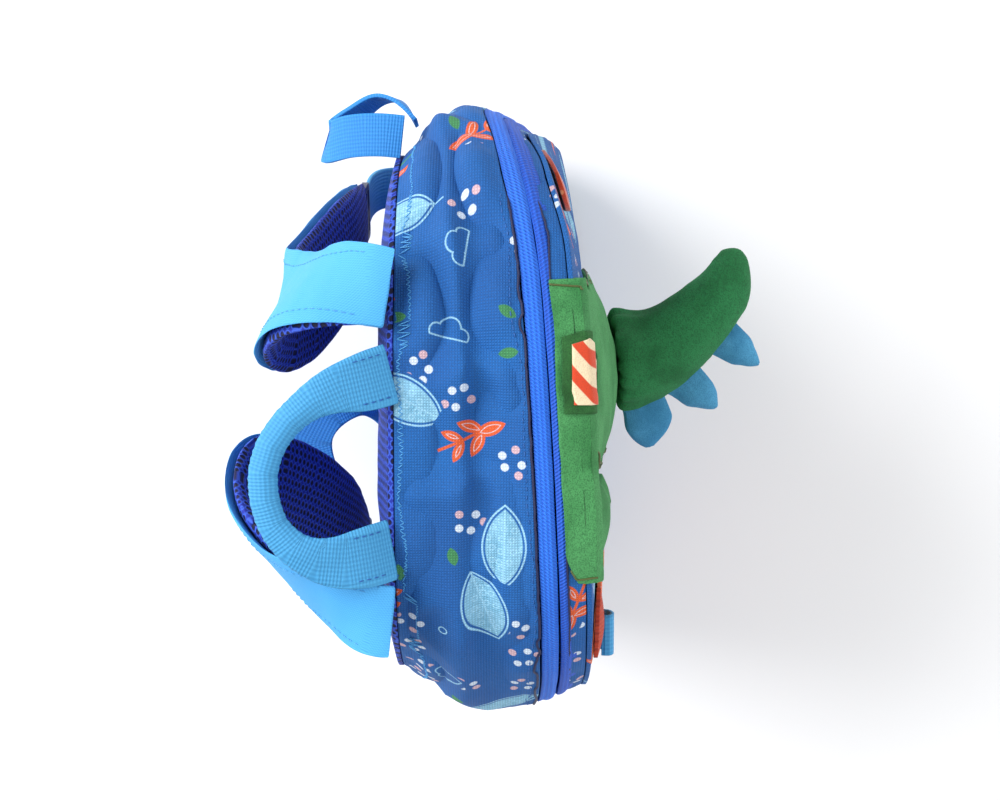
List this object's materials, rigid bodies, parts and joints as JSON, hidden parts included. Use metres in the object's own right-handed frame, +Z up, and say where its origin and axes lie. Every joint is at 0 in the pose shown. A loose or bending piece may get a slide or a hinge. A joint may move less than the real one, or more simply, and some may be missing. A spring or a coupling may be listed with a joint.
{
  "type": "backpack",
  "caption": "Small padded child's backpack standing on its base, with curved shoulder straps, a carrying handle, a closed zipper and a stuffed animal tail.",
  "frame": {"origin": "on the floor under the middle of the flat base, on the bag's centre line", "axes": "+Z up, +Y towards the wearer's back where the straps are, -Y towards the front with the tail, +X towards the side with the webbing loop"},
  "size_m": [0.2633, 0.2191, 0.3215],
  "materials": {
    "print_canvas": "woven polyester canvas with a printed pattern",
    "zip_tape": "knitted zipper tape with coil teeth",
    "spacer_mesh": "padded spacer mesh with open holes",
    "strap_twill": "fine ribbed polyester cloth",
    "webbing": "woven ribbed webbing",
    "plush_green": "short velvet plush",
    "spike_felt": "soft felt",
    "border_felt": "dark green felt",
    "stripe_felt": "orange felt with cream stripes",
    "spotted_plush": "orange plush with pale spots",
    "pocket_canvas": "orange canvas",
    "band_webbing": "ribbed dark orange webbing",
    "dark_plastic": "moulded dark blue plastic"
  },
  "bodies": {
    "root": {"gusset_back": "print_canvas", "zip_tape_back": "zip_tape", "zip_tape_front": "zip_tape", "gusset_front": "print_canvas", "base_panel": "print_canvas", "front_panel": "print_canvas", "back_panel": "spacer_mesh", "zip_slider": "dark_plastic", "strap_cover_right": "strap_twill", "strap_pad_right": "spacer_mesh", "buckle_right": "dark_plastic", "webbing_right": "webbing", "strap_cover_left": "strap_twill", "strap_pad_left": "spacer_mesh", "buckle_left": "dark_plastic", "webbing_left": "webbing", "handle": "webbing", "side_loop": "webbing", "plush_body": "plush_green", "plush_leg": "plush_green", "patch_border": "border_felt", "patch_stripes": "stripe_felt", "spotted_felt": "spotted_plush", "pocket": "pocket_canvas", "pocket_band": "band_webbing", "front_tab": "webbing", "tail": "plush_green", "tail_spike_1": "spike_felt", "tail_spike_2": "spike_felt", "tail_spike_3": "spike_felt"}
  },
  "joints": []
}
